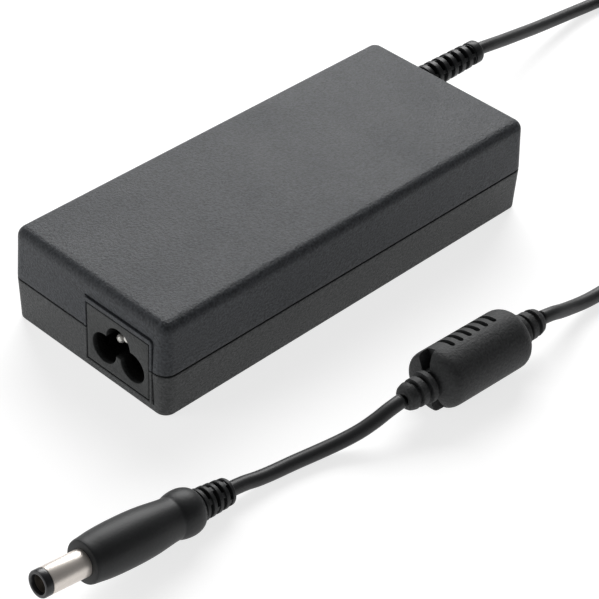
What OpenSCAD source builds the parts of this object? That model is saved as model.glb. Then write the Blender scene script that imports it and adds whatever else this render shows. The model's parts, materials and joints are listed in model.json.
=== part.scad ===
// Laptop power adapter: brick with a three-pin mains inlet, moulded DC cord with a
// ferrite bead, and a round DC plug with a centre pin.
// Millimetres. X runs from the inlet end to the cord end, Z up, the underside on z = 0.

/* [Case] */
// Length of the brick
body_l = 130; // [100:1:160]
// Width of the brick
body_w = 56; // [45:0.5:70]
// Height of the brick
body_h = 27.4; // [22:0.2:36]
// Height of the seam between the two covers
seam_z = 12.6; // [8:0.2:18]
// Wall thickness
wall = 2.2; // [1.6:0.1:3]
// Radius of the upright corners at the seam
corner_r = 3.6; // [2:0.1:8]
// Rounding of the top edges
top_r = 2.8; // [1:0.1:4]
// Slope of the upper sides, degrees
top_draft = 2.8; // [0:0.1:5]
// Slope of the lower sides, degrees
bottom_draft = 2.6; // [0:0.1:5]

/* [Inlet] */
// Y of the inlet centre
inlet_y = -11.25; // [-16:0.05:10]
// Z of the inlet centre
inlet_z = 11.7; // [10:0.1:16]
// Width of the inlet body
inlet_w = 22.4; // [20:0.1:26]
// Height of the inlet body
inlet_h = 17.2; // [15:0.1:20]
// Distance between the line and neutral pins
pin_pitch = 10; // [8:0.1:12]
// Radius of one lobe of the cloverleaf socket
lobe_r = 4.2; // [3.5:0.1:5]
// Pin diameter
pin_d = 2.4; // [1.5:0.1:3]

/* [Circuit board] */
// Length of the board
board_l = 104; // [90:1:110]
// Width of the board
board_w = 48; // [40:0.5:50]
// Thickness of the board
board_t = 1.6; // [1:0.1:2.4]
// Diameter of the bulk capacitor
bulk_d = 16.5; // [12:0.5:17]
// Length of the bulk capacitor
bulk_l = 34; // [25:1:40]

/* [Cord] */
// Cord diameter
cord_d = 3.7; // [3:0.1:5]
// Middle diameter of the coil of spare cord
coil_d = 44; // [38:1:60]
// Length of the gland outside the case
gland_l = 34.5; // [20:0.5:40]
// Y of the gland
gland_y = 19.3; // [-20:0.1:22]

/* [Ferrite bead] */
// Outer diameter of the bead cover
bead_d = 15.8; // [12:0.2:20]
// Length of the bead cover without its end collars
bead_l = 29.4; // [24:0.2:40]
// Wall of the bead cover
bead_wall = 1.7; // [0.8:0.1:2]

/* [Plug] */
// Outer diameter of the metal barrel
barrel_d = 6.5; // [5:0.1:8]
// Inner diameter of the barrel contact
barrel_bore = 4.4; // [3:0.1:5.5]
// Diameter of the centre pin
centre_pin_d = 1.4; // [0.6:0.1:2]
// Length from the tip to the front of the grip
plug_reach = 12.3; // [8:0.1:14]
// Largest diameter of the grip
grip_d = 12; // [10:0.1:16]

/* [Hidden] */
$fn = 48;
eps = 0.01;
gap = 0.05;
case_top = body_h;
roof_t = 2.0;
// inward shift of the upper and lower sides
top_in = (body_h - top_r - seam_z) * tan(top_draft);
low_r = 0.6;
low_in = (seam_z - low_r) * tan(bottom_draft);
// cavity
cav_l = body_l - 2 * wall - 0.8;
cav_w = body_w - 2 * wall - 0.8;
cav_r = 1.6;
cav_top = body_h - roof_t;
lip_h = 1.2;
lip_t = 1.0;
label_l = 72;
label_w = 38;
label_t = 0.3;
// inlet
face_x = -body_l / 2;
rim_side = 0.9;
rim_top = 1.5;
rim_low = 0.9;
rim_back = 2;
inlet_front = face_x + 0.05;
inlet_depth = 17;
socket_depth = 12.5;
socket_y = inlet_y - 0.2;
socket_low = 9.7;
earth_up = 4.2;
pins_y = pin_pitch / 2;
earth_tip = 2.3;
power_tip = 4.5;
pin_end = -46.5;
pin_step = 0.2;
flange_x = face_x + wall + 0.6;
// board and the stack below it
board_x = -44;
board_z = 4.6;
top_z = board_z + board_t;
shield_t = 0.5;
sheet_t = 0.4;
shield_z = wall + 0.1;
sheet_z = shield_z + shield_t + gap;
post_r = 2.3;
post_x = [board_x + 4, board_x + board_l - 4];
post_y = board_w / 2 - 3;
stack_l = board_l + 1;
stack_x = board_x - 0.5;
shield_w = cav_w - 0.2;
sheet_w = shield_w - 2 * shield_t - 0.2;
// gland
wall_out = body_l / 2;
gland_z = seam_z;
neck_r = 4.1;
rib_pitch = 3.2;
rib_t = 1.7;
rib_r0 = 4;
rib_r1 = 3.4;
gland_core = 2.5;
gland_end = wall_out + gland_l;
// cord
cord_r = cord_d / 2;
coil_x = 156;
coil_y = -42;
coil_mid = coil_d / 2;
cord_sides = 8;
tie_angle = -45;
tie_w = 5;
tie_t = 0.8;
// bead: middle of the bead and its turn about z
bead_x = -1;
bead_y = -68.1;
bead_turn = -2.8;
bead_roll = -26;
bead_z = bead_d / 2;
collar_l = 8.6;
collar_r = 4.15;
channel_w = 2.6;
channel_deep = 3;
neck_bead_r = 3;
slot_n = 6;
slot_pitch = 2.84;
slot_w = 1.3;
slot_deep = 1.2;
slot_reach = 6.4;
core_l = bead_l - 7;
core_r = bead_d / 2 - bead_wall - gap;
bore_r = cord_r + gap;
// plug: the middle of the tip, the turn about z, and how far the tail end is lower
tip_x = -128.2;
tip_y = -57.4;
tip_z = 11.5;
plug_turn = -0.8;
plug_pitch = 7.9;
barrel_r = barrel_d / 2;
relief_x0 = 45.3;
relief_end = 55.2;
tip_ring_l = 2;
barrel_back = 18.4;
barrel_step = 0.2;
tail_ring_r = 3.05;

// points on the axes of the bead and the plug
function bead_axis(s) =
  [bead_x + s * cos(bead_turn), bead_y + s * sin(bead_turn), bead_z];
function plug_axis(s) =
  [tip_x + s * cos(plug_pitch) * cos(plug_turn),
    tip_y + s * cos(plug_pitch) * sin(plug_turn), tip_z - s * sin(plug_pitch)];

// hand-picked points along the middle of the cord from the gland to the coil
lead_route = [
  [gland_end + gap, gland_y, gland_z], [gland_end + 2, gland_y, gland_z],
  [106, 19.5, 11.8], [112, 20.1, 10.4], [120, 21.0, 8.6], [130, 22.2, 6.3],
  [140, 23.2, 4.4], [149, 23.8, 3.0], [157, 23.9, 2.1], [164, 23.3, 1.9],
  [170.5, 21.2, 1.9], [176, 17.5, 1.9], [180.3, 12, 1.9], [182.8, 5, 1.9],
  [183.5, -4, 1.9], [183.5, -14, 1.9], [183.5, -26.5, 1.9]
];
// from the coil, through the bead, to the back of the plug
tail_route = [
  [140, -67.9, 4.9], [134, -68.1, 3.5], [127, -68.4, 2.3], [119, -68.7, 1.9],
  [108, -68.9, 1.9], [92, -69, 1.9],
  [76, -68.9, 1.9], [60, -68.9, 1.9], [50, -68.9, 2.1], [43, -68.9, 2.7],
  [37, -69.0, 4.0], [31.5, -69.4, 5.8], [27.5, -69.5, 7.2],
  bead_axis(24), bead_axis(20), bead_axis(-20), bead_axis(-24),
  [-29, -66.6, 7.2], [-33, -66.0, 5.8], [-37, -64.9, 4.2], [-41.5, -63.4, 2.9],
  [-47, -61.8, 2.1], [-54, -60.3, 1.9], [-60, -59.4, 2.0], [-64.5, -58.9, 2.5],
  [-68, -58.4, 3.1], plug_axis(relief_end + 2), plug_axis(relief_end + gap)
];

// which piece to draw

// ---------- shared shapes ----------

// flat rectangle with round corners, centred
module round_rect(l, w, r) {
  square([l - 2 * r, w], center = true);
  square([l, w - 2 * r], center = true);
  for (sx = [-1, 1], sy = [-1, 1])
    translate([sx * (l / 2 - r), sy * (w / 2 - r)]) circle(r);
}

module round_slab(l, w, r, h) {
  linear_extrude(height = h) round_rect(l, w, r);
}

// box given by its lower corner and its size
module block(x, y, z, l, w, h) {
  translate([x, y, z]) cube([l, w, h]);
}

// straight lead standing on the board
module leg(x, y, h, r = 0.4) {
  translate([x, y, top_z]) cylinder(r = r, h = h, $fn = 24);
}

// point on a smooth curve through a, b, c, d at t between b and c
function blend(a, b, c, d, t) =
  0.5 * (2 * b + (c - a) * t + (2 * a - 5 * b + 4 * c - d) * t * t
    + (3 * b - a - 3 * c + d) * t * t * t);

function smooth(p, k) = let (n = len(p)) [
  for (i = [0 : n - 2], j = [0 : k - 1])
    blend(p[max(i - 1, 0)], p[i], p[i + 1], p[min(i + 2, n - 1)], j / k),
  p[n - 1]
];

function unit(v) = v / norm(v);

function heading(p, i) =
  unit(p[min(i + 1, len(p) - 1)] - p[max(i - 1, 0)]);

function ring(p, i, r, n, side) =
  let (d = heading(p, i), s = unit(cross(d, side)), u = cross(s, d))
  [for (k = [0 : n - 1]) p[i] + r * (cos(360 * k / n) * s + sin(360 * k / n) * u)];

// plain tube along the points p; side is a direction p never runs along
module tube(p, r, n, side = [0, 0, 1]) {
  m = len(p);
  pts = [for (i = [0 : m - 1]) each ring(p, i, r, n, side)];
  sides = [for (i = [0 : m - 2], k = [0 : n - 1])
    [i * n + k, i * n + (k + 1) % n, (i + 1) * n + (k + 1) % n, (i + 1) * n + k]];
  first = [for (k = [0 : n - 1]) n - 1 - k];
  last = [for (k = [0 : n - 1]) (m - 1) * n + k];
  polyhedron(points = pts, faces = concat(sides, [first], [last]), convexity = 6);
}

// ---------- case ----------

module lower_body() {
  low_l = body_l - 2 * low_in;
  low_w = body_w - 2 * low_in;
  hull() {
    translate([0, 0, seam_z - eps]) round_slab(body_l, body_w, corner_r, eps);
    translate([0, 0, low_r]) round_slab(low_l, low_w, corner_r - low_in, eps);
    round_slab(low_l - 2 * low_r, low_w - 2 * low_r, corner_r - low_in - low_r, eps);
  }
}

module upper_body() {
  arm = corner_r - top_in - top_r;
  px = body_l / 2 - top_in - top_r - arm;
  py = body_w / 2 - top_in - top_r - arm;
  hull() {
    translate([0, 0, seam_z]) round_slab(body_l, body_w, corner_r, eps);
    for (sx = [-1, 1], sy = [-1, 1])
      translate([sx * px, sy * py, body_h - top_r])
        rotate_extrude($fn = 32) intersection() {
          translate([arm, 0]) circle(top_r, $fn = 32);
          translate([0, -top_r]) square([arm + top_r, 2 * top_r]);
        }
  }
}

module cavity(z0, z1) {
  translate([0, 0, z0]) round_slab(cav_l, cav_w, cav_r, z1 - z0);
}

// flat upright rim that frames the inlet
module inlet_rim() {
  block(face_x, inlet_y - inlet_w / 2 - rim_side, inlet_z - inlet_h / 2 - rim_low,
    rim_back, inlet_w + 2 * rim_side, inlet_h + rim_low + rim_top);
}

module inlet_opening() {
  block(face_x - 1, inlet_y - inlet_w / 2, inlet_z - inlet_h / 2,
    6, inlet_w, inlet_h);
}

module gland_hole() {
  translate([wall_out - 6, gland_y, gland_z]) rotate([0, 90, 0])
    cylinder(r = neck_r + gap, h = 8);
}

module seam_lip(extra) {
  translate([0, 0, seam_z - eps]) difference() {
    round_slab(cav_l + 2 * lip_t + 2 * extra, cav_w + 2 * lip_t + 2 * extra,
      cav_r + 1, lip_h + extra);
    translate([0, 0, -1]) round_slab(cav_l - extra, cav_w - extra, cav_r, lip_h + 3);
  }
}

module bottom_cover() {
  color("#3b3d3f") {
    difference() {
      union() {
        lower_body();
        intersection() {
          inlet_rim();
          block(-body_l, -body_w, 0, 2 * body_l, 2 * body_w, seam_z);
        }
        seam_lip(0);
      }
      cavity(wall, seam_z + 3);
      inlet_opening();
      gland_hole();
      translate([0, 0, -eps]) round_slab(label_l + 0.4, label_w + 0.4, 2, label_t + 0.1);
    }
    for (x = post_x, s = [-1, 1])
      translate([x, s * post_y, wall - eps]) cylinder(r = post_r, h = board_z - wall + eps);
  }
}

module top_cover() {
  color("#3f4143") difference() {
    union() {
      upper_body();
      intersection() {
        inlet_rim();
        block(-body_l, -body_w, seam_z, 2 * body_l, 2 * body_w, body_h);
      }
    }
    cavity(seam_z - 1, cav_top);
    seam_lip(0.1);
    inlet_opening();
    gland_hole();
  }
}

module rating_label() {
  color("#b9bbbc") round_slab(label_l, label_w, 1.8, label_t);
}

// ---------- inlet ----------

module clover(grow) {
  for (s = [-1, 1]) translate([s * pins_y, 0]) circle(lobe_r + grow);
  translate([0, earth_up]) circle(lobe_r + grow);
  polygon([[-pins_y, 0], [pins_y, 0], [pins_y - 1, earth_up - 1],
    [1 - pins_y, earth_up - 1]]);
}

// turns a flat drawing into the inlet face: drawing x runs along Y, drawing y along Z
module on_face(x, depth) {
  translate([x, socket_y, socket_low]) rotate([90, 0, 90])
    linear_extrude(height = depth) children();
}

module inlet_housing() {
  side = inlet_w - 2 * gap;
  tall = inlet_h - 2 * gap;
  color("#343638") difference() {
    union() {
      block(inlet_front, inlet_y - side / 2, inlet_z - tall / 2, inlet_depth, side, tall);
      block(flange_x, inlet_y - side / 2 - 1.6, inlet_z - tall / 2 - 0.7,
        2, side + 3.2, tall + 2.6);
    }
    on_face(inlet_front - 1, socket_depth + 1) clover(0);
    for (s = [-1, 1]) pin_hole(s * pins_y, 0);
    pin_hole(0, earth_up);
  }
}

module pin_hole(dy, dz) {
  translate([face_x + socket_depth - 1, socket_y + dy, socket_low + dz])
    rotate([0, 90, 0]) cylinder(r = pin_d / 2 - pin_step + 0.02, h = 10, $fn = 32);
}

// round pin with a domed tip and a thinner stem behind the socket floor
module contact_pin(dy, dz, tip) {
  r = pin_d / 2;
  length = pin_end - face_x - tip;
  bare = inlet_front + socket_depth - face_x - tip;
  stem = r - pin_step;
  translate([face_x + tip, socket_y + dy, socket_low + dz]) rotate([0, 90, 0])
    rotate_extrude($fn = 32)
      polygon([[0, 0], [r * 0.5, 0.1], [r * 0.86, 0.45], [r, 1.1], [r, bare],
        [stem, bare], [stem, length], [0, length]]);
}

module line_pin() {
  color("#c9b98c") contact_pin(pins_y, 0, power_tip);
}

module neutral_pin() {
  color("#c9b98c") contact_pin(-pins_y, 0, power_tip);
}

module earth_pin() {
  color("#c9b98c") contact_pin(0, earth_up, earth_tip);
}

// wire from the back of a pin down to the board
module inlet_wire(dy, dz) {
  y = socket_y + dy;
  z = socket_low + dz;
  tube(smooth([[pin_end, y, z], [pin_end + 1.6, y, z], [pin_end + 3.6, y, z - 0.7],
    [pin_end + 4.6, y, (z + top_z) / 2], [pin_end + 4.8, y, top_z]], 3),
    0.9, 8, [0, 1, 0]);
}

module line_wire() {
  color("#6d4325") inlet_wire(pins_y, 0);
}

module neutral_wire() {
  color("#2d5ea8") inlet_wire(-pins_y, 0);
}

module earth_wire() {
  color("#5f9440") inlet_wire(0, earth_up);
}

// ---------- shields and board ----------

module post_holes(z0, h) {
  for (x = post_x, s = [-1, 1])
    translate([x, s * post_y, z0]) cylinder(r = post_r + 0.3, h = h);
}

module lower_shield() {
  color("#b8babb") difference() {
    block(stack_x, -shield_w / 2, shield_z, stack_l, shield_w, 7);
    block(stack_x - 1, -shield_w / 2 + shield_t, shield_z + shield_t,
      stack_l + 2, shield_w - 2 * shield_t, 8);
    post_holes(shield_z - 1, 3);
  }
}

module upper_shield() {
  z1 = cav_top - 0.1;
  color("#b8babb") difference() {
    block(stack_x, -shield_w / 2, 11, stack_l, shield_w, z1 - 11);
    block(stack_x - 1, -shield_w / 2 + shield_t, 10, stack_l + 2,
      shield_w - 2 * shield_t, z1 - 10 - shield_t);
  }
}

module insulating_sheet() {
  color("#d9d6c8") difference() {
    block(stack_x, -sheet_w / 2, sheet_z, stack_l, sheet_w, 18);
    block(stack_x - 1, -sheet_w / 2 + sheet_t, sheet_z + sheet_t,
      stack_l + 2, sheet_w - 2 * sheet_t, 20);
    post_holes(sheet_z - 1, 3);
  }
}

module circuit_board() {
  color("#2f6b45") block(board_x, -board_w / 2, board_z, board_l, board_w, board_t);
}

// ---------- mains side ----------

module fuse() {
  color("#d8d4c4") {
    translate([-40, 8, top_z + 2.4]) rotate([-90, 0, 0]) cylinder(d = 4, h = 11);
    for (y = [8.9, 18.1]) leg(-40, y, 2.4);
  }
}

// round disc part standing on two legs, flat side along X
module disc_part(x, y, d, t) {
  translate([x - t / 2, y, top_z + d / 2 + 1.5]) rotate([0, 90, 0]) cylinder(d = d, h = t);
  for (s = [-1, 1]) leg(x, y + s * d / 4, d / 3 + 1.5);
}

module thermistor() {
  color("#2a4a3a") disc_part(-34.5, 17.5, 9, 3.6);
}

module varistor() {
  color("#2c5fa0") disc_part(-34.5, 7.5, 9, 3.6);
}

module x_capacitor() {
  color("#c9a227") block(-30.6, 4.5, top_z, 11, 18, 15);
}

choke_x = -29;
choke_y = -12;
choke_h = 9;

module choke_core() {
  color("#3a3a3a") translate([choke_x, choke_y, top_z + 1.2]) difference() {
    cylinder(r = 9, h = choke_h - 2.4);
    translate([0, 0, -1]) cylinder(r = 5.2, h = choke_h);
  }
}

module choke_winding(turn) {
  color("#b5692f") translate([choke_x, choke_y, top_z]) rotate(turn) difference() {
    intersection() {
      cylinder(r = 10.1, h = choke_h);
      translate([-9, 1.6, -1]) cube([18, 12, choke_h + 2]);
    }
    translate([0, 0, -1]) cylinder(r = 4, h = choke_h + 2);
    translate([0, 0, 1.2 - gap]) difference() {
      cylinder(r = 9 + gap, h = choke_h - 2.4 + 2 * gap);
      translate([0, 0, -1]) cylinder(r = 5.2 - gap, h = choke_h + 1);
    }
  }
}

module choke_winding_a() {
  choke_winding(0);
}

module choke_winding_b() {
  choke_winding(180);
}

module bridge_rectifier() {
  color("#2b2b2c") {
    block(-15.5, 2, top_z + 2.5, 3.6, 18, 14);
    for (i = [0 : 3]) leg(-13.7, 4 + i * 4.6, 3, 0.6);
  }
}

module bulk_capacitor() {
  r = bulk_d / 2;
  color("#23262b") translate([-16, -14, top_z + r]) rotate([0, 90, 0])
    rotate_extrude() polygon([[0, 0], [r - 0.6, 0], [r, 0.6], [r, 2.6], [r - 0.6, 3.2],
      [r, 3.8], [r, bulk_l - 0.6], [r - 0.6, bulk_l], [0, bulk_l]]);
}

// transistor package lying against a heatsink: plastic body, metal tab, three legs
module power_package(x, y, side) {
  body_y = side > 0 ? y - 4.5 : y;
  tab_y = side > 0 ? y - 1.3 : y;
  block(x - 5, body_y, top_z + 4, 10, 4.5, 9);
  difference() {
    block(x - 5, tab_y, top_z + 13 - eps, 10, 1.3, 4);
    translate([x, y - 3, top_z + 15]) rotate([-90, 0, 0]) cylinder(d = 2.6, h = 6);
  }
  for (i = [-1 : 1]) leg(x + i * 2.5, body_y + 2.2, 4.2, 0.45);
}

module primary_heatsink() {
  color("#c2c4c6") {
    block(-7, 21.2, top_z, 40, 1.5, 16);
    for (i = [0 : 4]) block(-6 + i * 2.2, 22.6, top_z + 2, 1, 1.2, 14);
  }
}

module switch_transistor() {
  color("#1f1f20") power_package(0, 21.2 - gap, 1);
}

// ---------- transformer ----------

xf_x = 19;
xf_y = 6.2;
xf_l = 25;
xf_w = 19;

module transformer_bobbin() {
  color("#35302a") {
    block(xf_x - 13, xf_y - 12, top_z, 26, 24, 1.8);
    translate([xf_x, xf_y, top_z + 1.7]) difference() {
      cylinder(r = 5.6, h = 14);
      translate([0, 0, -1]) cylinder(r = 4.9, h = 16);
    }
  }
}

module transformer_core() {
  z0 = top_z + 1.8 + gap;
  color("#2f3031") difference() {
    block(xf_x - xf_l / 2, xf_y - xf_w / 2, z0, xf_l, xf_w, 16);
    difference() {
      union() {
        translate([xf_x, xf_y, z0 + 2.5]) cylinder(r = 9.9, h = 11);
        block(xf_x - 6.5, xf_y - 12, z0 + 2.5, 13, 24, 11);
      }
      translate([xf_x, xf_y, z0]) cylinder(r = 4.8, h = 16);
    }
    translate([xf_x, xf_y, z0 - 1]) difference() {
      cylinder(r = 5.7, h = 3.6);
      translate([0, 0, -1]) cylinder(r = 4.8, h = 6);
    }
    translate([xf_x, xf_y, z0 + 13.4]) difference() {
      cylinder(r = 5.7, h = 1);
      translate([0, 0, -1]) cylinder(r = 4.8, h = 3);
    }
  }
}

module transformer_winding() {
  color("#c4a13c") translate([xf_x, xf_y, top_z + 1.8 + gap + 2.6]) difference() {
    cylinder(r = 9.4, h = 10.8);
    translate([0, 0, -1]) cylinder(r = 5.7, h = 13);
  }
}

// ---------- low-voltage side ----------

module y_capacitor() {
  color("#2c6fb0") disc_part(36, 19.5, 7, 3.2);
}

module optocoupler() {
  color("#e6e4dc") {
    block(34.2, 8.2, top_z + 0.5, 4.6, 6.4, 3.3);
    for (x = [35.2, 37.8], y = [8.1, 14.7]) leg(x, y, 2, 0.3);
  }
}

module controller_chip() {
  color("#262627") {
    block(34.2, -1.5, top_z + 0.2, 4, 5, 1.5);
    for (i = [0 : 3], x = [33.8, 38.2])
      block(x - 0.5, -1 + i * 1.2, top_z, 1.2, 0.5, 0.6);
  }
}

module secondary_heatsink() {
  color("#c2c4c6") {
    block(22, -22.7, top_z, 36, 1.5, 16);
    for (i = [0 : 4]) block(47 + i * 2.2, -23.8, top_z + 2, 1, 1.2, 14);
  }
}

module output_rectifier() {
  color("#1f1f20") power_package(31, -21.2 + gap, -1);
}

cap_y = -11.5;

// upright can capacitor with a rolled bead at the foot
module can(x, y, d, h) {
  r = d / 2;
  translate([x, y, top_z]) rotate_extrude()
    polygon([[0, 0], [r - 0.3, 0], [r, 0.4], [r, 1.4], [r - 0.4, 1.9], [r, 2.4],
      [r, h - 0.5], [r - 0.5, h], [0, h]]);
}

module output_capacitor_a() {
  color("#3d2f63") can(28, cap_y, 10, 16);
}

module output_capacitor_b() {
  color("#3d2f63") can(39, cap_y, 10, 16);
}

module output_capacitor_c() {
  color("#3d2f63") can(50, cap_y, 10, 16);
}

module output_choke() {
  color("#b5692f") translate([47, 4, top_z]) rotate_extrude()
    polygon([[0, 0], [6, 0], [6, 1.4], [5, 1.6], [5, 11.4], [6, 11.6], [6, 13], [0, 13]]);
}

module output_wire(dy, dz, pad_x, pad_y) {
  x = wall_out - 9;
  y = gland_y + dy;
  z = gland_z + dz;
  tube(smooth([[x, y, z], [x - 1.2, y, z], [pad_x + 0.6, (2 * y + pad_y) / 3, z - 1.4],
    [pad_x, pad_y, (z + top_z) / 2 - 0.6], [pad_x, pad_y, top_z]], 3),
    0.8, 8, [0.3, 1, 0]);
}

module dc_wire_plus() {
  color("#b9322c") output_wire(-1.9, 0, 50, 15.2);
}

module dc_wire_return() {
  color("#26282a") output_wire(1.9, 0, 50, 21.4);
}

module dc_wire_sense() {
  color("#e4e2da") output_wire(0, 1.9, 46, 18);
}

// ---------- gland and cord ----------

// rings round a thinner middle, narrowing from r0 to r1 between a and b
function rib_profile(a, b, r0, r1, core, n, pitch, t) = [
  for (i = [0 : n - 1]) let (x = a + i * pitch, r = r0 + (r1 - r0) * (x - a) / (b - a))
    each [[core, x], [r, x], [r, x + t], [core, x + t]]
];

module gland_profile() {
  flange_end = cav_l / 2 - gap;
  n = floor((gland_l - 4.5) / rib_pitch);
  last_x = wall_out + gland_l - 3;
  polygon(concat(
    [[0, wall_out - 9], [4.6, wall_out - 9], [4.6, wall_out - 5],
      [4.9, wall_out - 5], [4.9, flange_end], [neck_r, flange_end],
      [neck_r, wall_out + 0.8]],
    rib_profile(wall_out + 2.2, last_x, rib_r0, rib_r1, gland_core, n, rib_pitch, rib_t),
    [[gland_core, last_x], [rib_r1, last_x], [rib_r1, gland_end - 0.4],
      [rib_r1 - 0.5, gland_end], [0, gland_end]]));
}

module cord_gland() {
  color("#2c2d2f") translate([0, gland_y, gland_z]) rotate([0, 90, 0])
    rotate_extrude() gland_profile();
}

module cord_lead() {
  color("#2a2b2d") tube(smooth(lead_route, 2), cord_r, cord_sides);
}

// cross-section of the bundle: four turns below, then three, then two
function bundle(low) = [
  [-5.9, low], [5.9, low], [7.4, low + 1.4], [7.1, 2.8], [3.4, 9.2], [1.9, 10.1],
  [-1.9, 10.1], [-3.4, 9.2], [-7.1, 2.8], [-7.4, low + 1.4]
];

module cord_coil() {
  color("#2a2b2d") translate([coil_x, coil_y, 0]) difference() {
    rotate_extrude($fn = 64) translate([coil_mid, 0]) polygon(bundle(0));
    rotate(tie_angle) block(coil_mid - 10, -tie_w / 2 - 0.1, -1, 20, tie_w + 0.2,
      1 + tie_t + gap);
  }
}

module cord_tie() {
  color("#232425") translate([coil_x, coil_y, 0]) rotate(tie_angle)
    translate([coil_mid, tie_w / 2, 0]) rotate([90, 0, 0]) linear_extrude(height = tie_w)
      difference() {
        polygon([[-7, 0], [7, 0], [8.8, 1.6], [8.3, 3.6], [4.6, 10.1], [2.4, 11.2],
          [-2.4, 11.2], [-4.6, 10.1], [-8.3, 3.6], [-8.8, 1.6]]);
        polygon([[-6.4, tie_t], [6.4, tie_t], [7.75, 1.9], [7.4, 3.1], [3.8, 9.4],
          [2.1, 10.3], [-2.1, 10.3], [-3.8, 9.4], [-7.4, 3.1], [-7.75, 1.9]]);
      }
}

module cord_tail() {
  color("#2a2b2d") tube(smooth(tail_route, 2), cord_r, cord_sides);
}

// ---------- ferrite bead ----------

module bead_place() {
  translate([bead_x, bead_y, bead_z]) rotate([0, 0, bead_turn]) rotate([0, 90, 0])
    rotate(bead_roll) children();
}

module ferrite_core() {
  color("#3b3b3d") bead_place() translate([0, 0, -core_l / 2]) difference() {
    cylinder(r = core_r, h = core_l);
    translate([0, 0, -1]) cylinder(r = bore_r + 0.3, h = core_l + 2);
  }
}

module bead_cover() {
  r = bead_d / 2;
  e = bead_l / 2;
  color("#303234") bead_place() difference() {
    rotate_extrude() polygon(concat(
      collar_profile(-e, -1),
      [[r - 0.9, -e], [r - 0.2, -e + 0.6], [r, -e + 1.4], [r, e - 3.6],
        [r - 0.4, e - 2], [r - 1.2, e - 0.9], [r - 2.6, e - 0.1], [r - 3.4, e]],
      [for (i = [13 : -1 : 0]) collar_profile(e, 1)[i]]));
    translate([0, 0, -core_l / 2 - gap])
      cylinder(r = core_r + gap, h = core_l + 2 * gap);
    for (s = [0, 180]) rotate([0, 0, s]) end_channel();
    for (s = [-1, 1], i = [0 : slot_n - 1])
      translate([s * r, 0, (i - (slot_n - 1) / 2) * slot_pitch])
        cube([2 * slot_deep, slot_reach, slot_w], center = true);
  }
}

// half of the channel across the end of the cover
module end_channel() {
  translate([neck_bead_r, -channel_w / 2, -bead_l / 2 - 1])
    cube([bead_d / 2, channel_w, channel_deep + 1]);
}

// rings of the bead's end collar, from its tip to the cover's end at z; d is -1 or 1
function collar_profile(z, d) = [
  [bore_r, z + d * collar_l], [2.9, z + d * collar_l], [3.4, z + d * 7.9],
  [3.6, z + d * 6.5], [2.8, z + d * 6.5], [2.8, z + d * 5.3], [3.7, z + d * 5.3],
  [3.7, z + d * 3.4], [2.8, z + d * 3.4], [2.8, z + d * 2.4], [collar_r, z + d * 2.4],
  [collar_r, z + d * 0.9], [neck_bead_r, z + d * 0.9], [neck_bead_r, z]
];

// ---------- plug ----------

module plug_place() {
  translate([tip_x, tip_y, tip_z]) rotate([0, 0, plug_turn])
    rotate([0, 90 + plug_pitch, 0]) children();
}

module plug_grip() {
  g = grip_d / 2;
  n = 4;
  color("#2d2e30") plug_place() rotate_extrude() polygon(concat(
    [[0, barrel_back], [barrel_r - barrel_step + gap, barrel_back],
      [barrel_r - barrel_step + gap, plug_reach], [g - 1.6, plug_reach], [g - 1, plug_reach + 0.6],
      [g - 0.55, plug_reach + 2.1], [g - 0.2, plug_reach + 4.6], [g, 19.8], [g, 28],
      [g - 0.18, 30.8], [g - 0.5, 33.5], [g - 0.75, 36.3], [g - 0.75, 38.2],
      [g - 0.35, 39.9], [g - 0.28, 41.9], [g - 0.7, 43.7], [g - 1.7, 45]],
    rib_profile(relief_x0 + 0.4, relief_end, 3.9, 3.3, 2.7, n, 2.1, 1.1),
    [[2.7, relief_end - 1.2], [tail_ring_r, relief_end - 1.2],
      [tail_ring_r, relief_end - 0.3], [2.7, relief_end], [0, relief_end]]));
}

module plug_barrel() {
  color("#c8c2b6") plug_place() rotate_extrude() polygon([
    [barrel_r - 0.4, tip_ring_l], [barrel_r, tip_ring_l], [barrel_r, plug_reach],
    [barrel_r - barrel_step, plug_reach], [barrel_r - barrel_step, barrel_back],
    [barrel_r - 0.4, barrel_back]]);
}

// black ring at the mouth, with a tube that keeps the two contacts apart
module plug_tip_ring() {
  inner = barrel_bore / 2;
  color("#202123") plug_place() rotate_extrude() polygon([
    [inner + 0.25, 0], [barrel_r - 0.25, 0], [barrel_r, 0.3], [barrel_r, tip_ring_l],
    [barrel_r - 0.4 - gap, tip_ring_l], [barrel_r - 0.4 - gap, barrel_back - 1.5],
    [inner + 0.35, barrel_back - 1.5], [inner + 0.35, 1], [inner, 1], [inner, 0.4]]);
}

module plug_contact() {
  inner = barrel_bore / 2;
  color("#b9b2a4") plug_place() translate([0, 0, 1 + gap]) difference() {
    cylinder(r = inner + 0.3, h = barrel_back - 3);
    translate([0, 0, -1]) cylinder(r = inner, h = barrel_back);
  }
}

// plastic block that closes the back of the bore and holds the pin
module plug_insulator() {
  color("#8f8a80") plug_place() translate([0, 0, 11]) difference() {
    cylinder(r = barrel_bore / 2 - gap, h = barrel_back - 11);
    translate([0, 0, -1]) cylinder(r = centre_pin_d / 2 + 0.02, h = barrel_back);
  }
}

module plug_centre_pin() {
  r = centre_pin_d / 2;
  color("#c8c2b6") plug_place() translate([0, 0, 2.4]) rotate_extrude($fn = 32)
    polygon([[0, 0], [r * 0.6, 0.1], [r, 0.7], [r, barrel_back - 2.4], [0, barrel_back - 2.4]]);
}

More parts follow.
